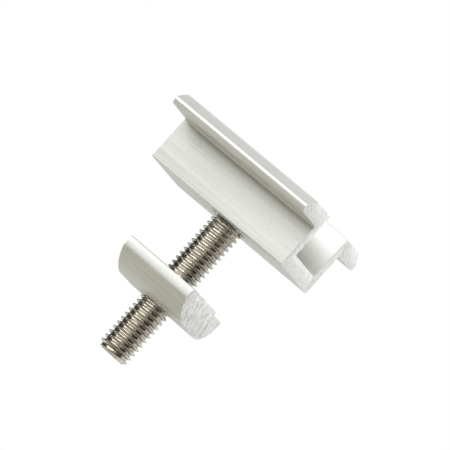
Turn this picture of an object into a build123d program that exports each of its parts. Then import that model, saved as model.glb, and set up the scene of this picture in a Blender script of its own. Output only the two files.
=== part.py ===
from build123d import *
import math
import os

# Mid clamp for solar module frames: an extruded aluminium channel with two
# wings, an M8 socket cap screw with a split lock washer, and a rail nut.
# Millimetres. The origin is on the screw axis at the underside of the
# channel's web. +X runs along the extrusion, +Y across it, +Z up towards
# the screw head.

# ---------------------------------------------------------------- channel
CLAMP_LENGTH = 40.0
CHANNEL_WIDTH = 19.0
CHANNEL_INSIDE = 13.8
WEB_THICKNESS = 3.7
CLAMP_HEIGHT = 14.6
WING_UNDERSIDE = 10.8
WING_TOP_HALF = 15.8
WING_TIP_HALF = 19.5
BEVEL_LOW_Z = 12.4
WING_LOWER_HALF = 18.9
NOSE_RADIUS = 0.8
BEVEL_EDGE_RADIUS = 0.3
WING_TIP_RADIUS = 0.9
HEEL_RADIUS = 0.4
INNER_CORNER_RADIUS = 0.4
WING_ROOT_RADIUS = 0.4
LIP_EDGE_RADIUS = 0.25
SCREW_HOLE = 9.0

# ------------------------------------------------------------------ screw
THREAD = 7.9
SCREW_LENGTH = 44.5
HEAD_DIAMETER = 13.0
HEAD_HEIGHT = 8.0
HEAD_CROWN = 0.8
HEX_ACROSS_FLATS = 6.0
HEX_DEPTH = 4.0
HEX_POINT_DEPTH = 1.2
HEX_LEAD_IN = 0.35
UNDER_HEAD_RADIUS = 0.3
POINT_CHAMFER = 0.9

# ------------------------------------------------------------ lock washer
WASHER_INSIDE = 8.3
WASHER_OUTSIDE = 12.7
WASHER_THICKNESS = 2.0
WASHER_FREE_HEIGHT = 3.3
WASHER_GAP_DEG = 9.0

# --------------------------------------------------------------- rail nut
NUT_LENGTH = 19.5
NUT_TOP_Z = -15.8
NUT_HEIGHT = 7.3
NUT_FRONT = -11.3
NUT_FACET_HEIGHT = 2.8
NUT_FACET_BULGE = 0.4
NUT_FRONT_CURVE = 0.8
NUT_FLOOR_FRONT = -4.3
NUT_FLOOR_BACK = 4.9
NUT_BACK_CURVE = 1.75
NUT_BACK_TIP = 9.3
NUT_LAND_END = 4.1
NUT_SHOULDER_START = 4.5
NUT_SHOULDER_DROP = 0.7
NUT_EDGE_RADIUS = 0.25
NUT_BORE = 8.0
NUT_COUNTERSINK = 0.5

# ----------------------------------------------------------------- places
SEAT_Z = WEB_THICKNESS + WASHER_FREE_HEIGHT
HEAD_TOP_Z = SEAT_Z + HEAD_HEIGHT
TIP_Z = SEAT_Z - SCREW_LENGTH
NUT_FLOOR_Z = NUT_TOP_Z - NUT_HEIGHT


def both_sides(y, z):
    """The same height at -y and +y."""
    return [(-y, z), (y, z)]


def round_corners(section, places, radius):
    """Round the corners of the section being drawn that lie at the given places."""
    corners = [
        min(section.vertices(), key=lambda v: math.hypot(v.X - across, v.Y - up))
        for across, up in places
    ]
    fillet(corners, radius)


def make_channel():
    """Winged channel: one symmetrical extrusion with a clearance hole in its web."""
    inside = CHANNEL_INSIDE / 2
    outside = CHANNEL_WIDTH / 2
    right = [
        (inside, WEB_THICKNESS),
        (inside, CLAMP_HEIGHT),
        (WING_TOP_HALF, CLAMP_HEIGHT),
        (WING_TIP_HALF, BEVEL_LOW_Z),
        (WING_LOWER_HALF, WING_UNDERSIDE),
        (outside, WING_UNDERSIDE),
        (outside, 0),
    ]
    left = [(-across, up) for across, up in reversed(right)]
    roundings = [
        (both_sides(inside, WEB_THICKNESS), INNER_CORNER_RADIUS),
        (both_sides(inside, CLAMP_HEIGHT), LIP_EDGE_RADIUS),
        (both_sides(WING_TOP_HALF, CLAMP_HEIGHT), BEVEL_EDGE_RADIUS),
        (both_sides(WING_TIP_HALF, BEVEL_LOW_Z), WING_TIP_RADIUS),
        (both_sides(WING_LOWER_HALF, WING_UNDERSIDE), NOSE_RADIUS),
        (both_sides(outside, WING_UNDERSIDE), WING_ROOT_RADIUS),
        (both_sides(outside, 0), HEEL_RADIUS),
    ]
    with BuildPart() as channel:
        with BuildSketch(Plane.YZ) as section:
            Polygon(*right, *left, align=None)
            for places, radius in roundings:
                round_corners(section, places, radius)
        extrude(amount=CLAMP_LENGTH / 2, both=True)
        with Locations((0, 0, WEB_THICKNESS / 2)):
            Cylinder(SCREW_HOLE / 2, 2 * WEB_THICKNESS, mode=Mode.SUBTRACT)
    return channel.part


def make_screw():
    """Turned socket cap screw, its head up, with a hexagon socket."""
    shank = THREAD / 2
    head = HEAD_DIAMETER / 2
    with BuildPart() as screw:
        with BuildSketch(Plane.XZ) as section:
            Polygon(
                (0, TIP_Z),
                (shank - POINT_CHAMFER, TIP_Z),
                (shank, TIP_Z + POINT_CHAMFER),
                (shank, SEAT_Z),
                (head, SEAT_Z),
                (head, HEAD_TOP_Z),
                (0, HEAD_TOP_Z),
                align=None,
            )
            round_corners(section, [(head, HEAD_TOP_Z)], HEAD_CROWN)
            round_corners(section, [(shank, SEAT_Z)], UNDER_HEAD_RADIUS)
        revolve(axis=Axis.Z)
        with BuildSketch(Plane.XY.offset(HEAD_TOP_Z)):
            RegularPolygon(HEX_ACROSS_FLATS / 2, 6, major_radius=False)
        extrude(amount=-HEX_DEPTH, mode=Mode.SUBTRACT)
        socket_floor = HEAD_TOP_Z - HEX_DEPTH
        with Locations((0, 0, socket_floor - HEX_POINT_DEPTH / 2)):
            Cone(0.1, HEX_ACROSS_FLATS / 2, HEX_POINT_DEPTH, mode=Mode.SUBTRACT)
        corner = HEX_ACROSS_FLATS / math.sqrt(3)
        with Locations((0, 0, HEAD_TOP_Z - HEX_LEAD_IN / 2)):
            Cone(corner - HEX_LEAD_IN, corner, HEX_LEAD_IN, mode=Mode.SUBTRACT)
    return screw.part


def make_lock_washer():
    """Split lock washer: a square-edged bar wound once round a shallow helix."""
    middle = (WASHER_INSIDE + WASHER_OUTSIDE) / 4
    width = (WASHER_OUTSIDE - WASHER_INSIDE) / 2
    turn = 1 - WASHER_GAP_DEG / 360
    rise = WASHER_FREE_HEIGHT - WASHER_THICKNESS
    bottom = WEB_THICKNESS + WASHER_THICKNESS / 2
    with BuildPart() as washer:
        with BuildLine() as coil:
            Helix(pitch=rise / turn, height=rise, radius=middle)
        across = Plane(origin=coil.line @ 0, x_dir=(1, 0, 0), z_dir=coil.line % 0)
        with BuildSketch(across):
            Rectangle(width, WASHER_THICKNESS)
        sweep(path=coil.line, is_frenet=True)
    return Pos(0, 0, bottom) * Rot(0, 0, WASHER_GAP_DEG / 2) * washer.part


def make_rail_nut():
    """Sawn length of a shaped bar: flat land, stepped shoulder, rounded flanks."""
    shoulder_z = NUT_TOP_Z - NUT_SHOULDER_DROP
    front_top = (NUT_FRONT, NUT_TOP_Z)
    front_low = (NUT_FRONT, NUT_TOP_Z - NUT_FACET_HEIGHT)
    floor_front = (NUT_FLOOR_FRONT, NUT_FLOOR_Z)
    floor_back = (NUT_FLOOR_BACK, NUT_FLOOR_Z)
    back_tip = (NUT_BACK_TIP, shoulder_z)
    step_low = (NUT_SHOULDER_START, shoulder_z)
    step_high = (NUT_LAND_END, NUT_TOP_Z)
    edges = [front_top, front_low, floor_front, floor_back, back_tip, step_high]
    with BuildPart() as nut:
        with BuildSketch(Plane.YZ) as section:
            with BuildLine():
                SagittaArc(front_top, front_low, -NUT_FACET_BULGE)
                SagittaArc(front_low, floor_front, -NUT_FRONT_CURVE)
                Line(floor_front, floor_back)
                SagittaArc(floor_back, back_tip, -NUT_BACK_CURVE)
                Polyline(back_tip, step_low, step_high, front_top)
            make_face()
            round_corners(section, edges, NUT_EDGE_RADIUS)
        extrude(amount=NUT_LENGTH / 2, both=True)
        with Locations((0, 0, (NUT_TOP_Z + NUT_FLOOR_Z) / 2)):
            Cylinder(NUT_BORE / 2, 2 * NUT_HEIGHT, mode=Mode.SUBTRACT)
        mouths = nut.edges().filter_by(GeomType.CIRCLE).filter_by(
            lambda edge: abs(edge.radius - NUT_BORE / 2) < 0.01
        )
        chamfer(mouths, NUT_COUNTERSINK)
    return nut.part


NODES = {
    "clamp_channel": make_channel,
    "socket_cap_screw": make_screw,
    "split_lock_washer": make_lock_washer,
    "rail_nut": make_rail_nut,
}

os.makedirs("parts", exist_ok=True)
for name, make in NODES.items():
    solid = make()
    export_step(solid, f"parts/{name}.step")
    size = solid.bounding_box()
    print(f"{name}: {solid.volume:.0f} mm3, z {size.min.Z:.2f} to {size.max.Z:.2f}")
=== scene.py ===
"""Studio scene of a mid clamp for solar module frames.

A winged aluminium channel stands over a rail. A socket cap screw with a split
lock washer passes through its web into a rail nut. Every piece is modelled at
real size, in metres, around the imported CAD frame.
"""

import logging
import math
from collections.abc import Callable, Iterator, Sequence
from contextlib import contextmanager
from dataclasses import dataclass
from enum import Enum

import bmesh
import bpy
from mathutils import Matrix, Vector


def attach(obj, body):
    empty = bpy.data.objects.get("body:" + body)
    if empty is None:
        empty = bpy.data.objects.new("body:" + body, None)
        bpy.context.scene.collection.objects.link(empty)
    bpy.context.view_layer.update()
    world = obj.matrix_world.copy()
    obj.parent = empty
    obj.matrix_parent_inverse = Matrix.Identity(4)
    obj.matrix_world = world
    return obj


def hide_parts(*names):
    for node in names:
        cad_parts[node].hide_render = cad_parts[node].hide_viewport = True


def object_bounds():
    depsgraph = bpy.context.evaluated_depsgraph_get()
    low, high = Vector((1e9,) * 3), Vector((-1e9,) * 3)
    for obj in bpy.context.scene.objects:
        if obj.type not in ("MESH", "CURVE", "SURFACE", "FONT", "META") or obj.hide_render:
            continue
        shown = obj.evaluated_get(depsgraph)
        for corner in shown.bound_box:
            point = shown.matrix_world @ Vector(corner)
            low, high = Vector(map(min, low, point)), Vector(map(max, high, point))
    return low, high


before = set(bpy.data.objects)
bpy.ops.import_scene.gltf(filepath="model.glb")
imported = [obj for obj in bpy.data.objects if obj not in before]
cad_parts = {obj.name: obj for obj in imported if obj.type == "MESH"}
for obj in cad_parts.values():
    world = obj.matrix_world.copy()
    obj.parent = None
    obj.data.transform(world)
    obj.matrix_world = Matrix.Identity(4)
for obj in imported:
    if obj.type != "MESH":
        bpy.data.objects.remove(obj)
CAD_LOW, CAD_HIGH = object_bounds()

LOG = logging.getLogger("mid_clamp")
MM = 0.001
Point = tuple[float, float]


# ---------------------------------------------------------------- modelling


class Pick(Enum):
    """What an edit-mode selection is made of."""

    VERTS = "VERT"
    EDGES = "EDGE"
    FACES = "FACE"


def deselect_all() -> None:
    """Leave no object selected."""
    bpy.ops.object.select_all(action="DESELECT")


def make_active(piece: bpy.types.Object) -> None:
    """Select one object alone and make it the active one.

    Args:
        piece: The object to work on.
    """
    deselect_all()
    piece.select_set(True)
    bpy.context.view_layer.objects.active = piece


@contextmanager
def editing(piece: bpy.types.Object) -> Iterator[None]:
    """Hold an object in edit mode for the length of a with block.

    Args:
        piece: The mesh object to edit.
    """
    make_active(piece)
    bpy.ops.object.mode_set(mode="EDIT")
    yield
    bpy.ops.object.mode_set(mode="OBJECT")


def pick(piece: bpy.types.Object, kind: Pick, test: Callable[[Vector], bool]) -> int:
    """Select the vertices, edges or faces whose middle passes a test.

    Args:
        piece: The object in edit mode.
        kind: Which elements to look at.
        test: Takes an element's middle, in metres.

    Returns:
        How many elements were selected.
    """
    bpy.ops.mesh.select_mode(type=kind.value)
    bpy.ops.mesh.select_all(action="DESELECT")
    mesh = bmesh.from_edit_mesh(piece.data)
    if kind is Pick.VERTS:
        found = [vert for vert in mesh.verts if test(vert.co)]
    elif kind is Pick.EDGES:
        found = [
            edge for edge in mesh.edges if test((edge.verts[0].co + edge.verts[1].co) / 2)
        ]
    else:
        found = [face for face in mesh.faces if test(face.calc_center_median())]
    for element in found:
        element.select = True
    mesh.select_flush_mode()
    bmesh.update_edit_mesh(piece.data)
    return len(found)


def apply_modifier(piece: bpy.types.Object, kind: str, **settings: object) -> None:
    """Add a modifier with its settings and apply it at once.

    Args:
        piece: The object to change.
        kind: Blender's name for the modifier.
        **settings: The modifier's properties.
    """
    make_active(piece)
    modifier = piece.modifiers.new(kind.lower(), kind)
    for name, value in settings.items():
        setattr(modifier, name, value)
    bpy.ops.object.modifier_apply(modifier=modifier.name)


def drill(piece: bpy.types.Object, cutter: bpy.types.Object) -> None:
    """Cut one object out of another and throw the cutter away.

    Args:
        piece: The object that loses material.
        cutter: The closed shape that is cut out.
    """
    apply_modifier(piece, "BOOLEAN", operation="DIFFERENCE", solver="EXACT", object=cutter)
    bpy.data.objects.remove(cutter)


def smooth(piece: bpy.types.Object, angle_deg: float) -> None:
    """Shade an object smooth, except across edges sharper than an angle.

    Args:
        piece: The object to shade.
        angle_deg: The sharpest edge that stays smooth.
    """
    make_active(piece)
    bpy.ops.object.shade_smooth_by_angle(angle=math.radians(angle_deg))


def name_piece(piece: bpy.types.Object, name: str) -> bpy.types.Object:
    """Give an object and its mesh one name."""
    piece.name = name
    piece.data.name = name
    return piece


def flared_rod(radius: float, low: float, high: float, flare: float) -> bpy.types.Object:
    """Model the cutter for a hole along Z with a countersink at both mouths.

    Args:
        radius: The hole's radius, in mm.
        low: Height of the lower mouth, in mm.
        high: Height of the upper mouth, in mm.
        flare: The countersink's depth and width, in mm.

    Returns:
        The cutter object.
    """
    over = 0.5
    deselect_all()
    bpy.ops.mesh.primitive_cylinder_add(
        vertices=96,
        radius=radius * MM,
        depth=(high - low - 2 * flare) * MM,
        location=(0, 0, (high + low) / 2 * MM),
        end_fill_type="NGON",
    )
    cutter = bpy.context.object
    bpy.ops.object.transform_apply()
    wider = (radius + flare + over) / radius
    with editing(cutter):
        for end, way in ((high - flare, 1), (low + flare, -1)):
            pick(cutter, Pick.FACES, lambda at, z=end: abs(at.z - z * MM) < 1e-6)
            bpy.ops.mesh.extrude_region_move(
                TRANSFORM_OT_translate={"value": (0, 0, way * (flare + over) * MM)}
            )
            mouth = (0, 0, (end + way * (flare + over)) * MM)
            bpy.ops.transform.resize(value=(wider, wider, 1), center_override=mouth)
    return cutter


@dataclass(frozen=True)
class Arc:
    """One round stretch of a bar's outline, as a chord's end and its bulge, in mm."""

    end: Point
    bulge: float
    steps: int = 16

    def circle(self, start: Point) -> tuple[Point, float]:
        """Work out the arc's centre and the angle it turns through.

        Args:
            start: Where the arc begins.

        Returns:
            The centre, and the angle in radians, clockwise seen from +X.
        """
        along = Vector(self.end) - Vector(start)
        half = along.length / 2
        radius = (half * half + self.bulge * self.bulge) / (2 * self.bulge)
        inward = Vector((along.y, -along.x)).normalized()
        middle = (Vector(self.end) + Vector(start)) / 2
        centre = middle + inward * (radius - self.bulge)
        return (centre.x, centre.y), 2 * math.asin(half / radius)


@dataclass(frozen=True)
class Rounding:
    """A long edge of a bar that is bevelled round, at its place in the section, in mm."""

    at: Point
    width: float
    steps: int = 4


class SawnBar:
    """A length of shaped bar along X, modelled by drawing one edge round its outline."""

    def __init__(self, name: str, length: float, start: Point, first: Point) -> None:
        """Lay down the first flat strip of the bar's skin.

        Args:
            name: The piece's name.
            length: The sawn length, in mm.
            start: Where the outline begins, as y and z in mm.
            first: Where the first strip ends, at the same height.
        """
        self.length = length
        self.start = start
        self.at = first
        deselect_all()
        middle = (0, (start[0] + first[0]) / 2 * MM, start[1] * MM)
        bpy.ops.mesh.primitive_plane_add(size=1, location=middle)
        self.piece = name_piece(bpy.context.object, name)
        bpy.ops.object.transform_apply()
        with editing(self.piece):
            bpy.ops.mesh.select_all(action="SELECT")
            size = (length * MM, abs(first[0] - start[0]) * MM, 1)
            bpy.ops.transform.resize(value=size, center_override=middle)

    def draw(self, outline: Sequence[Point | Arc]) -> None:
        """Extrude and spin the open edge round the outline, then close both ends.

        Args:
            outline: Corners and arcs in order, ending where the bar began.
        """
        with editing(self.piece):
            y, z = self.at
            pick(self.piece, Pick.EDGES, lambda mid: abs(mid.y - y * MM) < 1e-6)
            for step in outline:
                if isinstance(step, Arc):
                    centre, angle = step.circle(self.at)
                    bpy.ops.mesh.spin(
                        steps=step.steps,
                        angle=angle,
                        center=(0, centre[0] * MM, centre[1] * MM),
                        axis=(1, 0, 0),
                    )
                    self.at = step.end
                else:
                    move = (0, (step[0] - self.at[0]) * MM, (step[1] - self.at[1]) * MM)
                    bpy.ops.mesh.extrude_edges_move(TRANSFORM_OT_translate={"value": move})
                    self.at = step
            bpy.ops.mesh.select_all(action="SELECT")
            bpy.ops.mesh.remove_doubles(threshold=1e-6)
            for side in (-1, 1):
                end = side * self.length / 2 * MM
                pick(self.piece, Pick.EDGES, lambda mid, x=end: abs(mid.x - x) < 1e-6)
                bpy.ops.mesh.edge_face_add()
            bpy.ops.mesh.select_all(action="SELECT")
            bpy.ops.mesh.normals_make_consistent(inside=False)

    def soften(self, roundings: Sequence[Rounding]) -> None:
        """Bevel the bar's long edges round.

        Args:
            roundings: The edges and their sizes.
        """
        with editing(self.piece):
            for rounding in roundings:
                y, z = rounding.at
                pick(
                    self.piece,
                    Pick.EDGES,
                    lambda mid, y=y, z=z: abs(mid.x) < 1e-6
                    and math.hypot(mid.y - y * MM, mid.z - z * MM) < 2e-5,
                )
                bpy.ops.mesh.bevel(
                    offset=rounding.width * MM,
                    segments=rounding.steps,
                    profile=0.5,
                    affect="EDGES",
                )

    def break_ends(self, width: float) -> None:
        """Take the sharp arris off both sawn ends, and keep the bar's length.

        Args:
            width: The small chamfer's width, in mm.
        """
        with editing(self.piece):
            for side in (-1, 1):
                end = side * self.length / 2 * MM
                pick(self.piece, Pick.VERTS, lambda at, x=end: abs(at.x - x) < 1e-6)
                bpy.ops.transform.translate(value=(-side * width * MM / 2, 0, 0))
                end -= side * width * MM / 2
                pick(self.piece, Pick.FACES, lambda mid, x=end: abs(mid.x - x) < 1e-6)
                bpy.ops.mesh.inset(thickness=width * MM, depth=width * MM / 2)


# ---------------------------------------------------------------- materials


def linear(hex_colour: str) -> tuple[float, float, float, float]:
    """Turn an sRGB hex colour into Blender's linear colour.

    Args:
        hex_colour: Six hex digits, with or without a leading #.

    Returns:
        Red, green, blue and an alpha of 1.
    """
    digits = hex_colour.lstrip("#")
    srgb = [int(digits[i : i + 2], 16) / 255 for i in (0, 2, 4)]
    red, green, blue = (
        c / 12.92 if c <= 0.04045 else ((c + 0.055) / 1.055) ** 2.4 for c in srgb
    )
    return red, green, blue, 1.0


def per_metre(x: float, y: float, z: float) -> tuple[float, float, float]:
    """Turn a pattern's size along each axis, in mm, into a Mapping node's scale."""
    return 1 / (x * MM), 1 / (y * MM), 1 / (z * MM)


def add(
    tree: bpy.types.NodeTree, kind: str, sockets: dict | None = None, **settings: object
) -> bpy.types.Node:
    """Add a shader node with its settings, values and links.

    Args:
        tree: The node tree to add to.
        kind: Blender's name for the node.
        sockets: Input name or number to a value, an output socket, or a node
            whose first output is linked.
        **settings: The node's own properties.

    Returns:
        The new node.
    """
    node = tree.nodes.new(kind)
    for name, value in settings.items():
        setattr(node, name, value)
    for name, value in (sockets or {}).items():
        if isinstance(value, bpy.types.Node):
            value = next(output for output in value.outputs if output.enabled)
        if isinstance(value, bpy.types.NodeSocket):
            tree.links.new(value, node.inputs[name])
        else:
            node.inputs[name].default_value = value
    return node


@dataclass(frozen=True)
class MetalFinish:
    """What every metal finish here shares: a name and the start of its shader."""

    name: str

    def begin(self) -> tuple[bpy.types.Material, bpy.types.NodeTree, bpy.types.Node]:
        """Make an empty metal material.

        Returns:
            The material, its node tree and its Principled shader.
        """
        material = bpy.data.materials.new(self.name)
        material.use_nodes = True
        tree = material.node_tree
        tree.nodes.clear()
        shader = add(tree, "ShaderNodeBsdfPrincipled", {"Metallic": 1.0})
        add(tree, "ShaderNodeOutputMaterial", {"Surface": shader})
        return material, tree, shader


@dataclass(frozen=True)
class ExtrudedAluminium(MetalFinish):
    """Aluminium extrusion, etched and clear anodised.

    The etch gives a soft satin sheen. The die leaves fine lines along the bar,
    and handling leaves small dull pits and rubs.
    """

    name: str = "clear_anodised_extrusion"
    light: str = "ECEEEB"
    dark: str = "DEE0DC"
    pit: str = "77756C"
    roughness: float = 0.5
    die_line: float = 0.24
    die_streak: float = 1.6
    line_depth: float = 0.0016
    line_run: float = 60.0
    streak_run: float = 45.0
    pit_grain: float = 0.3
    pit_patch: tuple[float, float, float] = (3.1, 2.3, 2.3)
    scratch: tuple[float, float, float] = (2.6, 2.6, 0.09)
    scratch_angle: float = 38.0

    def build(self) -> bpy.types.Material:
        """Build the material."""
        material, tree, shader = self.begin()
        place = add(tree, "ShaderNodeTexCoord").outputs["Object"]
        # Real die lines are finer. These are drawn 0.24 mm apart so that they show.
        lines_at = add(
            tree,
            "ShaderNodeMapping",
            {
                "Vector": place,
                "Scale": per_metre(self.line_run, self.die_line, self.die_line),
            },
        )
        lines = add(
            tree, "ShaderNodeTexNoise", {"Vector": lines_at, "Scale": 1.0, "Detail": 2.0}
        )
        streaks_at = add(
            tree,
            "ShaderNodeMapping",
            {
                "Vector": place,
                "Scale": per_metre(self.streak_run, self.die_streak, self.die_streak),
            },
        )
        streaks = add(
            tree, "ShaderNodeTexNoise", {"Vector": streaks_at, "Scale": 1.0, "Detail": 3.0}
        )
        tone = add(tree, "ShaderNodeMix", {"Factor": 0.5, "A": lines, "B": streaks})
        shade = add(
            tree, "ShaderNodeMapRange", {"Value": tone, "From Min": 0.36, "From Max": 0.64}
        )
        bare = add(
            tree,
            "ShaderNodeMix",
            {0: shade, 6: linear(self.dark), 7: linear(self.light)},
            data_type="RGBA",
        )
        # Pits 0.1 to 0.2 mm across, in loose patches, and a few short scratches.
        specks = add(
            tree,
            "ShaderNodeTexNoise",
            {"Vector": place, "Scale": 1 / (self.pit_grain * MM), "Detail": 1.5},
        )
        pits = add(
            tree,
            "ShaderNodeMapRange",
            {"Value": specks, "From Min": 0.68, "From Max": 0.78, "To Max": 0.7},
        )
        patches_at = add(
            tree, "ShaderNodeMapping", {"Vector": place, "Scale": per_metre(*self.pit_patch)}
        )
        patches = add(
            tree, "ShaderNodeTexNoise", {"Vector": patches_at, "Scale": 1.0, "Detail": 1.0}
        )
        some = add(
            tree, "ShaderNodeMapRange", {"Value": patches, "From Min": 0.5, "From Max": 0.62}
        )
        pitted = add(tree, "ShaderNodeMath", {0: pits, 1: some}, operation="MULTIPLY")
        scratches_at = add(
            tree,
            "ShaderNodeMapping",
            {
                "Vector": place,
                "Rotation": (0.3, math.radians(self.scratch_angle), 0.2),
                "Scale": per_metre(*self.scratch),
            },
        )
        strokes = add(tree, "ShaderNodeTexNoise", {"Vector": scratches_at, "Scale": 1.0})
        scratches = add(
            tree,
            "ShaderNodeMapRange",
            {"Value": strokes, "From Min": 0.7, "From Max": 0.76, "To Max": 0.45},
        )
        worn = add(tree, "ShaderNodeMath", {0: pitted, 1: scratches}, operation="MAXIMUM")
        colour = add(
            tree, "ShaderNodeMix", {0: worn, 6: bare, 7: linear(self.pit)}, data_type="RGBA"
        )
        dulled = add(
            tree,
            "ShaderNodeMapRange",
            {
                "Value": streaks,
                "From Min": 0.3,
                "From Max": 0.7,
                "To Min": self.roughness - 0.04,
                "To Max": self.roughness + 0.04,
            },
        )
        bump = add(
            tree,
            "ShaderNodeBump",
            {"Height": lines, "Distance": self.line_depth * MM, "Strength": 1.0},
        )
        tree.links.new(colour.outputs[2], shader.inputs["Base Color"])
        tree.links.new(dulled.outputs[0], shader.inputs["Roughness"])
        tree.links.new(bump.outputs[0], shader.inputs["Normal"])
        return material


@dataclass(frozen=True)
class SawnAluminium(MetalFinish):
    """The bare end of a bar cut with a circular saw.

    The teeth leave long shallow arcs across the cut, bright where they rubbed
    and dull where they tore, so the end looks frosted and streaky.
    """

    name: str = "saw_cut_aluminium"
    light: str = "F4F4F2"
    dark: str = "DCDCDA"
    roughness: float = 0.62
    hub: tuple[float, float] = (-70.0, -103.0)
    blade_radius: float = 125.0
    tooth_mark: float = 0.26
    mark_length: float = 3.2
    mark_depth: float = 0.006
    torn: float = 0.45
    tear: tuple[float, float] = (1.3, 0.5)
    through: float = 40.0

    def build(self) -> bpy.types.Material:
        """Build the material."""
        material, tree, shader = self.begin()
        place = add(tree, "ShaderNodeTexCoord").outputs["Object"]
        from_hub = add(
            tree,
            "ShaderNodeVectorMath",
            {0: place, 1: (0.0, self.hub[0] * MM, self.hub[1] * MM)},
            operation="SUBTRACT",
        )
        parts = add(tree, "ShaderNodeSeparateXYZ", {"Vector": from_hub})
        section = add(
            tree, "ShaderNodeCombineXYZ", {"Y": parts.outputs["Y"], "Z": parts.outputs["Z"]}
        )
        reach = add(tree, "ShaderNodeVectorMath", {0: section}, operation="LENGTH")
        turn = add(
            tree,
            "ShaderNodeMath",
            {0: parts.outputs["Z"], 1: parts.outputs["Y"]},
            operation="ARCTAN2",
        )
        around = add(
            tree,
            "ShaderNodeMath",
            {0: turn, 1: self.blade_radius * MM},
            operation="MULTIPLY",
        )
        sweep = add(
            tree, "ShaderNodeCombineXYZ", {"X": around, "Y": reach, "Z": parts.outputs["X"]}
        )
        marks_at = add(
            tree,
            "ShaderNodeMapping",
            {
                "Vector": sweep,
                "Scale": per_metre(self.mark_length, self.tooth_mark, self.through),
            },
        )
        marks = add(
            tree,
            "ShaderNodeTexNoise",
            {"Vector": marks_at, "Scale": 1.0, "Detail": 4.0, "Roughness": 0.65},
        )
        tears_at = add(
            tree,
            "ShaderNodeMapping",
            {"Vector": sweep, "Scale": per_metre(*self.tear, self.through)},
        )
        tears = add(
            tree, "ShaderNodeTexNoise", {"Vector": tears_at, "Scale": 1.0, "Detail": 3.0}
        )
        rough_cut = add(
            tree, "ShaderNodeMix", {"Factor": self.torn, "A": marks, "B": tears}
        )
        shade = add(
            tree,
            "ShaderNodeMapRange",
            {"Value": rough_cut, "From Min": 0.36, "From Max": 0.56},
        )
        colour = add(
            tree,
            "ShaderNodeMix",
            {0: shade, 6: linear(self.dark), 7: linear(self.light)},
            data_type="RGBA",
        )
        bump = add(
            tree,
            "ShaderNodeBump",
            {"Height": rough_cut, "Distance": self.mark_depth * MM, "Strength": 1.0},
        )
        shader.inputs["Roughness"].default_value = self.roughness
        tree.links.new(colour.outputs[2], shader.inputs["Base Color"])
        tree.links.new(bump.outputs[0], shader.inputs["Normal"])
        return material


@dataclass(frozen=True)
class Stainless(MetalFinish):
    """Stainless steel, warmer and darker than aluminium.

    Rolling or tumbling leaves it bright with small clouds and nicks.
    """

    name: str = "rolled_stainless_steel"
    light: str = "DAD6CD"
    dark: str = "C2BCB1"
    roughness: float = 0.17
    cloud: float = 1.4
    nick: float = 0.3
    nick_depth: float = 0.0004

    def build(self) -> bpy.types.Material:
        """Build the material."""
        material, tree, shader = self.begin()
        place = add(tree, "ShaderNodeTexCoord").outputs["Object"]
        clouds = add(
            tree,
            "ShaderNodeTexNoise",
            {"Vector": place, "Scale": 1 / (self.cloud * MM), "Detail": 3.0},
        )
        shade = add(
            tree, "ShaderNodeMapRange", {"Value": clouds, "From Min": 0.35, "From Max": 0.65}
        )
        colour = add(
            tree,
            "ShaderNodeMix",
            {0: shade, 6: linear(self.dark), 7: linear(self.light)},
            data_type="RGBA",
        )
        nicks = add(
            tree,
            "ShaderNodeTexNoise",
            {"Vector": place, "Scale": 1 / (self.nick * MM), "Detail": 2.0},
        )
        dulled = add(
            tree,
            "ShaderNodeMapRange",
            {
                "Value": nicks,
                "From Min": 0.3,
                "From Max": 0.7,
                "To Min": self.roughness - 0.03,
                "To Max": self.roughness + 0.04,
            },
        )
        bump = add(
            tree,
            "ShaderNodeBump",
            {"Height": nicks, "Distance": self.nick_depth * MM, "Strength": 1.0},
        )
        tree.links.new(colour.outputs[2], shader.inputs["Base Color"])
        tree.links.new(dulled.outputs[0], shader.inputs["Roughness"])
        tree.links.new(bump.outputs[0], shader.inputs["Normal"])
        return material


def dress(
    piece: bpy.types.Object,
    finishes: Sequence[bpy.types.Material],
    second: Callable[[bpy.types.MeshPolygon], bool] | None = None,
) -> None:
    """Give a piece its materials.

    Args:
        piece: The object to dress.
        finishes: The main material, and if wanted a second one.
        second: Says which faces take the second material.
    """
    piece.data.materials.clear()
    for material in finishes:
        piece.data.materials.append(material)
    for face in piece.data.polygons:
        face.material_index = 1 if second and second(face) else 0


def sawn_end(face: bpy.types.MeshPolygon) -> bool:
    """Say whether a face looks along the bar, as its sawn ends do."""
    return abs(face.normal.x) > 0.6


# ------------------------------------------------------------ sub-assemblies


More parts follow.
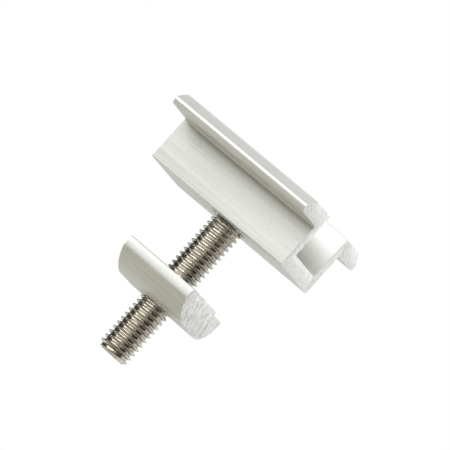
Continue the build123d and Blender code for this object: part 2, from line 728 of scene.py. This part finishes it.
@dataclass
class ClampChannel:
    """The winged channel, one aluminium extrusion sawn to length. Sizes in mm."""

    length: float = 40.0
    width: float = 19.0
    inside: float = 13.8
    web: float = 3.7
    height: float = 14.6
    wing_underside: float = 10.8
    wing_top_half: float = 15.8
    wing_tip_half: float = 19.5
    wing_lower_half: float = 18.9
    bevel_low: float = 12.4
    screw_hole: float = 9.0
    arris: float = 0.08
    inner_corner: float = 0.4
    lip_edge: float = 0.25
    bevel_edge: float = 0.12
    tip_round: float = 0.72
    nose_round: float = 0.58
    wing_root: float = 0.4
    heel: float = 0.22
    hole_break: float = 0.2

    def outline(self) -> list[Point]:
        """List the section's corners, clockwise seen from +X, after its web's floor."""
        half_in, half_out = self.inside / 2, self.width / 2
        right = [
            (half_in, self.web),
            (half_in, self.height),
            (self.wing_top_half, self.height),
            (self.wing_tip_half, self.bevel_low),
            (self.wing_lower_half, self.wing_underside),
            (half_out, self.wing_underside),
            (half_out, 0.0),
        ]
        left = [(-y, z) for y, z in reversed(right)]
        return right[1:] + left

    def roundings(self) -> list[Rounding]:
        """List the die's corner radii on both sides of the section."""
        half_in, half_out = self.inside / 2, self.width / 2
        one_side = [
            Rounding((half_in, self.web), self.inner_corner),
            Rounding((half_in, self.height), self.lip_edge),
            Rounding((self.wing_top_half, self.height), self.bevel_edge),
            Rounding((self.wing_tip_half, self.bevel_low), self.tip_round, 8),
            Rounding((self.wing_lower_half, self.wing_underside), self.nose_round, 6),
            Rounding((half_out, self.wing_underside), self.wing_root),
            Rounding((half_out, 0.0), self.heel),
        ]
        mirrored = [Rounding((-r.at[0], r.at[1]), r.width, r.steps) for r in one_side]
        return one_side + mirrored

    def build(self) -> bpy.types.Object:
        """Model the channel and its screw hole.

        Returns:
            The finished mesh object.
        """
        half_in = self.inside / 2
        bar = SawnBar(
            "channel_extrusion", self.length, (-half_in, self.web), (half_in, self.web)
        )
        bar.draw(self.outline())
        bar.soften(self.roundings())
        bar.break_ends(self.arris)
        drill(bar.piece, flared_rod(self.screw_hole / 2, 0.0, self.web, self.hole_break))
        smooth(bar.piece, 35)
        return bar.piece

    def dress(self, piece: bpy.types.Object) -> None:
        """Give the channel its anodised faces and sawn ends."""
        finishes = [ExtrudedAluminium().build(), SawnAluminium().build()]
        dress(piece, finishes, sawn_end)


@dataclass
class RailNut:
    """The nut, a short sawn length of shaped bar with a tapped hole. Sizes in mm."""

    length: float = 19.5
    top: float = -15.8
    height: float = 7.3
    front: float = -11.3
    facet: float = 2.8
    facet_bulge: float = 0.12
    front_curve: float = 0.8
    floor_front: float = -4.3
    floor_back: float = 4.9
    back_curve: float = 1.75
    back_tip: float = 9.3
    land_end: float = 4.1
    shoulder_start: float = 4.5
    shoulder_drop: float = 0.7
    bore: float = 8.0
    countersink: float = 0.5
    arris: float = 0.06
    top_edge: float = 0.3
    facet_round: float = 0.7
    step_edge: float = 0.15
    tip_edge: float = 0.22

    def build(self) -> bpy.types.Object:
        """Model the nut and its bore.

        Returns:
            The finished mesh object.
        """
        floor = self.top - self.height
        facet_low = (self.front, self.top - self.facet)
        shoulder = self.top - self.shoulder_drop
        tip = (self.back_tip, shoulder)
        bar = SawnBar(
            "rail_nut_bar",
            self.length,
            (self.front, self.top),
            (self.land_end, self.top),
        )
        bar.draw(
            [
                (self.shoulder_start, shoulder),
                tip,
                Arc((self.floor_back, floor), self.back_curve),
                (self.floor_front, floor),
                Arc(facet_low, self.front_curve),
                Arc((self.front, self.top), self.facet_bulge, 6),
            ]
        )
        bar.soften(
            [
                Rounding((self.front, self.top), self.top_edge),
                Rounding(facet_low, self.facet_round, 8),
                Rounding((self.land_end, self.top), self.step_edge),
                Rounding(tip, self.tip_edge),
            ]
        )
        bar.break_ends(self.arris)
        drill(bar.piece, flared_rod(self.bore / 2, floor, self.top, self.countersink))
        smooth(bar.piece, 30)
        return bar.piece

    def dress(self, piece: bpy.types.Object) -> None:
        """Give the nut its extruded faces and sawn ends."""
        skin = ExtrudedAluminium(
            name="mill_finish_extrusion", light="E4E6E3", dark="D5D7D3", roughness=0.57
        )
        ends = SawnAluminium(
            name="saw_cut_nut_end",
            light="F4F4F2",
            dark="BDBDBB",
            hub=(-110.0, -75.0),
            mark_depth=0.012,
        )
        dress(piece, [skin.build(), ends.build()], sawn_end)


@dataclass
class SocketCapScrew:
    """The screw: a rolled thread along its shank and a knurled socket head. Sizes in mm."""

    thread: float = 7.9
    pitch: float = 1.25
    thread_depth: float = 0.77
    length: float = 44.5
    seat: float = 7.0
    head: float = 13.0
    head_height: float = 8.0
    crown: float = 0.8
    socket: float = 6.0
    socket_depth: float = 4.0
    point_chamfer: float = 0.9
    steps: int = 72
    root_flat: float = 0.12
    root_break: float = 0.02
    crest_break: float = 0.05
    neck_overlap: float = 0.4
    under_head: float = 0.25
    socket_point: float = 1.2
    knurls: int = 60
    knurl_depth: float = 0.22
    knurl_break: float = 0.12
    knurl_proud: float = 0.1
    knurl_from: float = 0.7
    knurl_to: float = 1.3

    def thread_profile(self) -> list[Point]:
        """List one pitch of the rolled thread's outline, as radius and height."""
        crest = self.thread / 2
        root = crest - self.thread_depth
        breaks = self.root_break + self.crest_break
        flank = (self.thread_depth - breaks) * math.tan(math.radians(30))
        shoulder = self.root_flat + flank
        rise = [
            (root, 0.0),
            (root + self.root_break, self.root_flat),
            (crest - self.crest_break, shoulder),
            (crest, shoulder + self.crest_break),
        ]
        fall = [(radius, self.pitch - height) for radius, height in reversed(rise)]
        return rise + fall

    def build_thread(self) -> bpy.types.Object:
        """Wind the thread's outline round the axis and cut it to length.

        Returns:
            The closed threaded shank.
        """
        tip = self.seat - self.length
        profile = self.thread_profile()
        radius, height = profile[0]
        begin = tip - self.pitch
        deselect_all()
        bpy.ops.mesh.primitive_plane_add(size=MM)
        piece = name_piece(bpy.context.object, "screw_thread")
        bpy.ops.object.transform_apply()
        with editing(piece):
            bpy.ops.mesh.select_mode(type="VERT")
            bpy.ops.mesh.select_all(action="SELECT")
            bpy.ops.mesh.merge(type="CENTER")
            bpy.ops.transform.translate(value=(radius * MM, 0, (begin + height) * MM))
            for before, after in zip(profile, profile[1:]):
                step = ((after[0] - before[0]) * MM, 0, (after[1] - before[1]) * MM)
                bpy.ops.mesh.extrude_vertices_move(TRANSFORM_OT_translate={"value": step})
        turns = math.ceil((self.length + 2 * self.pitch) / self.pitch)
        apply_modifier(
            piece,
            "SCREW",
            axis="Z",
            steps=self.steps,
            render_steps=self.steps,
            screw_offset=self.pitch * MM,
            iterations=turns,
        )
        with editing(piece):
            bpy.ops.mesh.select_all(action="SELECT")
            bpy.ops.mesh.remove_doubles(threshold=2e-6)
            for height, up in ((tip, False), (self.seat + self.neck_overlap, True)):
                bpy.ops.mesh.select_all(action="SELECT")
                bpy.ops.mesh.bisect(
                    plane_co=(0, 0, height * MM),
                    plane_no=(0, 0, 1),
                    use_fill=True,
                    clear_inner=not up,
                    clear_outer=up,
                    threshold=1e-7,
                )
            bpy.ops.mesh.select_all(action="SELECT")
            bpy.ops.mesh.normals_make_consistent(inside=False)
        self.chamfer_point(piece, tip)
        return piece

    def chamfer_point(self, piece: bpy.types.Object, tip: float) -> None:
        """Turn the thread's first turns down to a cone.

        Args:
            piece: The threaded shank.
            tip: Height of the screw's point, in mm.
        """
        full = self.thread / 2 * MM
        cone = self.point_chamfer * MM
        for vert in piece.data.vertices:
            limit = full - cone + max(0.0, vert.co.z - tip * MM)
            reach = math.hypot(vert.co.x, vert.co.y)
            if reach > limit:
                vert.co.x *= limit / reach
                vert.co.y *= limit / reach

    def build_head(self) -> bpy.types.Object:
        """Model the plain head with its rounded crown and hexagon socket.

        Returns:
            The head, without its knurl.
        """
        top = self.seat + self.head_height
        deselect_all()
        bpy.ops.mesh.primitive_cylinder_add(
            vertices=96,
            radius=(self.head / 2 - self.knurl_proud) * MM,
            depth=self.head_height * MM,
            location=(0, 0, (self.seat + top) / 2 * MM),
        )
        head = name_piece(bpy.context.object, "screw_head")
        bpy.ops.object.transform_apply()
        with editing(head):
            pick(head, Pick.FACES, lambda at: at.z > top * MM - 1e-6)
            bpy.ops.mesh.region_to_loop()
            bpy.ops.mesh.bevel(offset=self.crown * MM, segments=6, profile=0.5)
            pick(head, Pick.FACES, lambda at: at.z < self.seat * MM + 1e-6)
            bpy.ops.mesh.region_to_loop()
            bpy.ops.mesh.bevel(offset=self.under_head * MM, segments=2, profile=0.5)
        drill(head, self.socket_cutter(top))
        return head

    def socket_cutter(self, top: float) -> bpy.types.Object:
        """Model the hexagon that the socket is cut with, with its conical floor.

        Args:
            top: Height of the head's top, in mm.

        Returns:
            The cutter object.
        """
        over = 1.0
        corner = self.socket / math.sqrt(3)
        deselect_all()
        bpy.ops.mesh.primitive_cylinder_add(
            vertices=6,
            radius=corner * MM,
            depth=(self.socket_depth + over) * MM,
            location=(0, 0, (top + (over - self.socket_depth) / 2) * MM),
            rotation=(0, 0, math.radians(30)),
        )
        cutter = bpy.context.object
        bpy.ops.object.transform_apply()
        floor = (top - self.socket_depth) * MM
        with editing(cutter):
            pick(cutter, Pick.FACES, lambda at: at.z < floor + 1e-6)
            bpy.ops.mesh.extrude_region_move(
                TRANSFORM_OT_translate={"value": (0, 0, -self.socket_point * MM)}
            )
            bpy.ops.transform.resize(
                value=(0.08, 0.08, 1), center_override=(0, 0, floor - self.socket_point * MM)
            )
        return cutter

    def build_knurl(self) -> bpy.types.Object:
        """Model the band of fine straight grooves round the head.

        Returns:
            The closed band.
        """
        low = self.seat + self.knurl_from
        high = self.seat + self.head_height - self.knurl_to
        radius = self.head / 2 * MM
        deselect_all()
        bpy.ops.mesh.primitive_cylinder_add(
            vertices=2 * self.knurls,
            radius=radius,
            depth=(high - low) * MM,
            location=(0, 0, (low + high) / 2 * MM),
        )
        band = name_piece(bpy.context.object, "screw_knurl")
        bpy.ops.object.transform_apply()
        pitch = math.pi / self.knurls

        def groove(at: Vector) -> bool:
            """Say whether a vertex is at the bottom of a groove."""
            number = round(math.atan2(at.y, at.x) / pitch)
            return number % 2 == 1

        shrink = 1 - self.knurl_depth / (self.head / 2)
        with editing(band):
            pick(band, Pick.VERTS, groove)
            bpy.ops.transform.resize(
                value=(shrink, shrink, 1), center_override=(0, 0, (low + high) / 2 * MM)
            )
            pick(band, Pick.FACES, lambda at: abs(at.z - (low + high) / 2 * MM) > 1e-5)
            width = self.knurl_break * MM
            bpy.ops.mesh.inset(thickness=width, depth=width, use_individual=True)
        return band

    def build(self) -> list[bpy.types.Object]:
        """Model the whole screw.

        Returns:
            The threaded shank, and the head with its knurl.
        """
        shank = self.build_thread()
        smooth(shank, 40)
        head = self.build_head()
        smooth(head, 35)
        band = self.build_knurl()
        smooth(band, 20)
        return [shank, head, band]

    def dress(self, shank: bpy.types.Object, others: Sequence[bpy.types.Object]) -> None:
        """Give the shank its rolled finish and the head its tumbled one."""
        dress(shank, [Stainless().build()])
        forged = Stainless(name="tumbled_stainless_steel", roughness=0.3).build()
        for piece in others:
            dress(piece, [forged])


@dataclass
class LockWasher:
    """The split lock washer, whose CAD solid already has its true shape."""

    node: str = "split_lock_washer"

    def dress(self) -> bpy.types.Object:
        """Give the washer its sprung steel finish.

        Returns:
            The washer's own object.
        """
        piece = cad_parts[self.node]
        spring = Stainless(
            name="sprung_stainless_steel", light="C4BFB6", dark="9A958C", roughness=0.34
        )
        finish = spring.build()
        if piece.material_slots:
            for slot in piece.material_slots:
                slot.material = finish
        else:
            piece.data.materials.append(finish)
        return piece


# -------------------------------------------------------------------- studio


@dataclass(frozen=True)
class Card:
    """A card that only mirrors show: where it stands, its size and its grey.

    Angles in degrees round the object, seen from above, and lengths in metres.
    """

    name: str
    azimuth: float
    elevation: float
    distance: float
    width: float
    height: float
    colour: str

    def put_up(self) -> bpy.types.Object:
        """Stand the card up, facing the object.

        Returns:
            The card object.
        """
        towards = direction(self.azimuth, self.elevation)
        deselect_all()
        bpy.ops.mesh.primitive_plane_add(
            size=1,
            location=towards * self.distance,
            rotation=towards.to_track_quat("Z", "Y").to_euler(),
        )
        card = name_piece(bpy.context.object, self.name)
        card.scale = (self.width, self.height, 1)
        card.data.materials.append(matt(self.name, self.colour))
        card.visible_camera = False
        card.visible_diffuse = False
        card.visible_shadow = False
        return card


@dataclass(frozen=True)
class Softbox:
    """A soft lamp: where it hangs, its width and height and its power in watts."""

    name: str
    azimuth: float
    elevation: float
    distance: float
    width: float
    height: float
    power: float

    def hang(self) -> bpy.types.Object:
        """Hang the lamp, facing the object.

        Returns:
            The lamp object.
        """
        towards = direction(self.azimuth, self.elevation)
        data = bpy.data.lights.new(self.name, "AREA")
        data.shape = "RECTANGLE"
        data.size = self.width
        data.size_y = self.height
        data.energy = self.power
        lamp = bpy.data.objects.new(self.name, data)
        bpy.context.scene.collection.objects.link(lamp)
        lamp.location = towards * self.distance
        lamp.rotation_euler = towards.to_track_quat("Z", "Y").to_euler()
        return lamp


def direction(azimuth: float, elevation: float) -> Vector:
    """Give the direction from the object at an azimuth and an elevation in degrees."""
    turn, rise = math.radians(azimuth), math.radians(elevation)
    return Vector(
        (math.sin(turn) * math.cos(rise), -math.cos(turn) * math.cos(rise), math.sin(rise))
    )


def matt(name: str, colour: str) -> bpy.types.Material:
    """Make a matt paper material of one plain colour."""
    material = bpy.data.materials.new(name)
    material.use_nodes = True
    shader = material.node_tree.nodes["Principled BSDF"]
    shader.inputs["Base Color"].default_value = linear(colour)
    shader.inputs["Roughness"].default_value = 0.9
    return material


@dataclass
class Studio:
    """The camera, the pale floor and the soft light. Angles in degrees, lengths in m."""

    azimuth: float = 26.26
    elevation: float = -3.77
    roll: float = 42.06
    distance: float = 0.98
    lens_mm: float = 366.35
    aim: tuple[float, float, float] = (-0.00049, -0.0002, -0.00055)
    floor_drop: float = 0.13
    floor_size: float = 1.6
    floor_colour: str = "DEDEDC"
    cards: tuple[Card, ...] = (
        Card("front_card", -13, -32, 0.4, 1.38, 0.57, "56514A"),
        Card("table_card", -10, -76, 0.15, 0.4, 0.4, "AFAA9D"),
        Card("ceiling_card", 11, 69, 0.3, 0.7, 0.56, "D9D9D6"),
        Card("side_card", 71, 0, 0.38, 0.45, 0.5, "303030"),
        Card("left_card", -95, 11, 0.42, 0.55, 0.73, "2E2E2E"),
        Card("right_card", 129, 18, 0.42, 0.7, 0.23, "898987"),
        Card("back_card", -158, -25, 0.42, 0.4, 0.4, "9B9B99"),
    )
    softboxes: tuple[Softbox, ...] = (
        Softbox("front_softbox", -17.5, 21, 0.5, 0.61, 0.275, 1.49),
        Softbox("rear_softbox", 144, 31, 0.5, 0.4, 0.4, 0.9),
    )

    def add_camera(self) -> bpy.types.Object:
        """Place the long-lens camera and make it the scene's own.

        Returns:
            The camera object.
        """
        back = direction(self.azimuth, self.elevation)
        upright = back.to_track_quat("Z", "Y").to_matrix()
        turned = upright @ Matrix.Rotation(math.radians(self.roll), 3, "Z")
        data = bpy.data.cameras.new("studio_camera")
        data.lens = self.lens_mm
        data.sensor_width = 36.0
        data.clip_start = 0.01
        camera = bpy.data.objects.new("studio_camera", data)
        bpy.context.scene.collection.objects.link(camera)
        place = Vector(self.aim) + back * self.distance
        camera.matrix_world = Matrix.Translation(place) @ turned.to_4x4()
        bpy.context.scene.camera = camera
        return camera

    def add_floor(self) -> None:
        """Lay a pale floor well below the hanging screw."""
        deselect_all()
        bpy.ops.mesh.primitive_plane_add(
            size=self.floor_size, location=(0, 0, CAD_LOW.z - self.floor_drop)
        )
        floor = name_piece(bpy.context.object, "studio_floor")
        floor.data.materials.append(matt("floor_paper", self.floor_colour))

    def add_world(self) -> None:
        """Surround the scene with even white."""
        world = bpy.data.worlds.new("white_tent")
        bpy.context.scene.world = world
        world.use_nodes = True
        tree = world.node_tree
        tree.nodes.clear()
        white = add(tree, "ShaderNodeBackground", {"Color": (1, 1, 1, 1), "Strength": 1.0})
        add(tree, "ShaderNodeOutputWorld", {"Surface": white})

    def build(self) -> None:
        """Set up everything around the object."""
        bpy.context.scene.view_settings.view_transform = "Standard"
        self.add_camera()
        self.add_floor()
        self.add_world()
        for card in self.cards:
            card.put_up()
        for softbox in self.softboxes:
            softbox.hang()


def main() -> None:
    """Build the studio and every piece, in order."""
    logging.basicConfig(level=logging.INFO, format="%(name)s: %(message)s")
    Studio().build()

    channel = ClampChannel()
    extrusion = channel.build()
    channel.dress(extrusion)
    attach(extrusion, "clamp")
    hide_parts("clamp_channel")
    LOG.info("channel: %d faces", len(extrusion.data.polygons))

    screw = SocketCapScrew()
    shank, *head = screw.build()
    screw.dress(shank, head)
    for piece in (shank, *head):
        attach(piece, "screw")
        LOG.info("%s: %d faces", piece.name, len(piece.data.polygons))
    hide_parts("socket_cap_screw")

    LockWasher().dress()
    LOG.info("lock washer dressed")

    nut = RailNut()
    bar = nut.build()
    nut.dress(bar)
    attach(bar, "nut")
    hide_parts("rail_nut")
    LOG.info("rail nut: %d faces", len(bar.data.polygons))


if __name__ == "__main__":
    main()
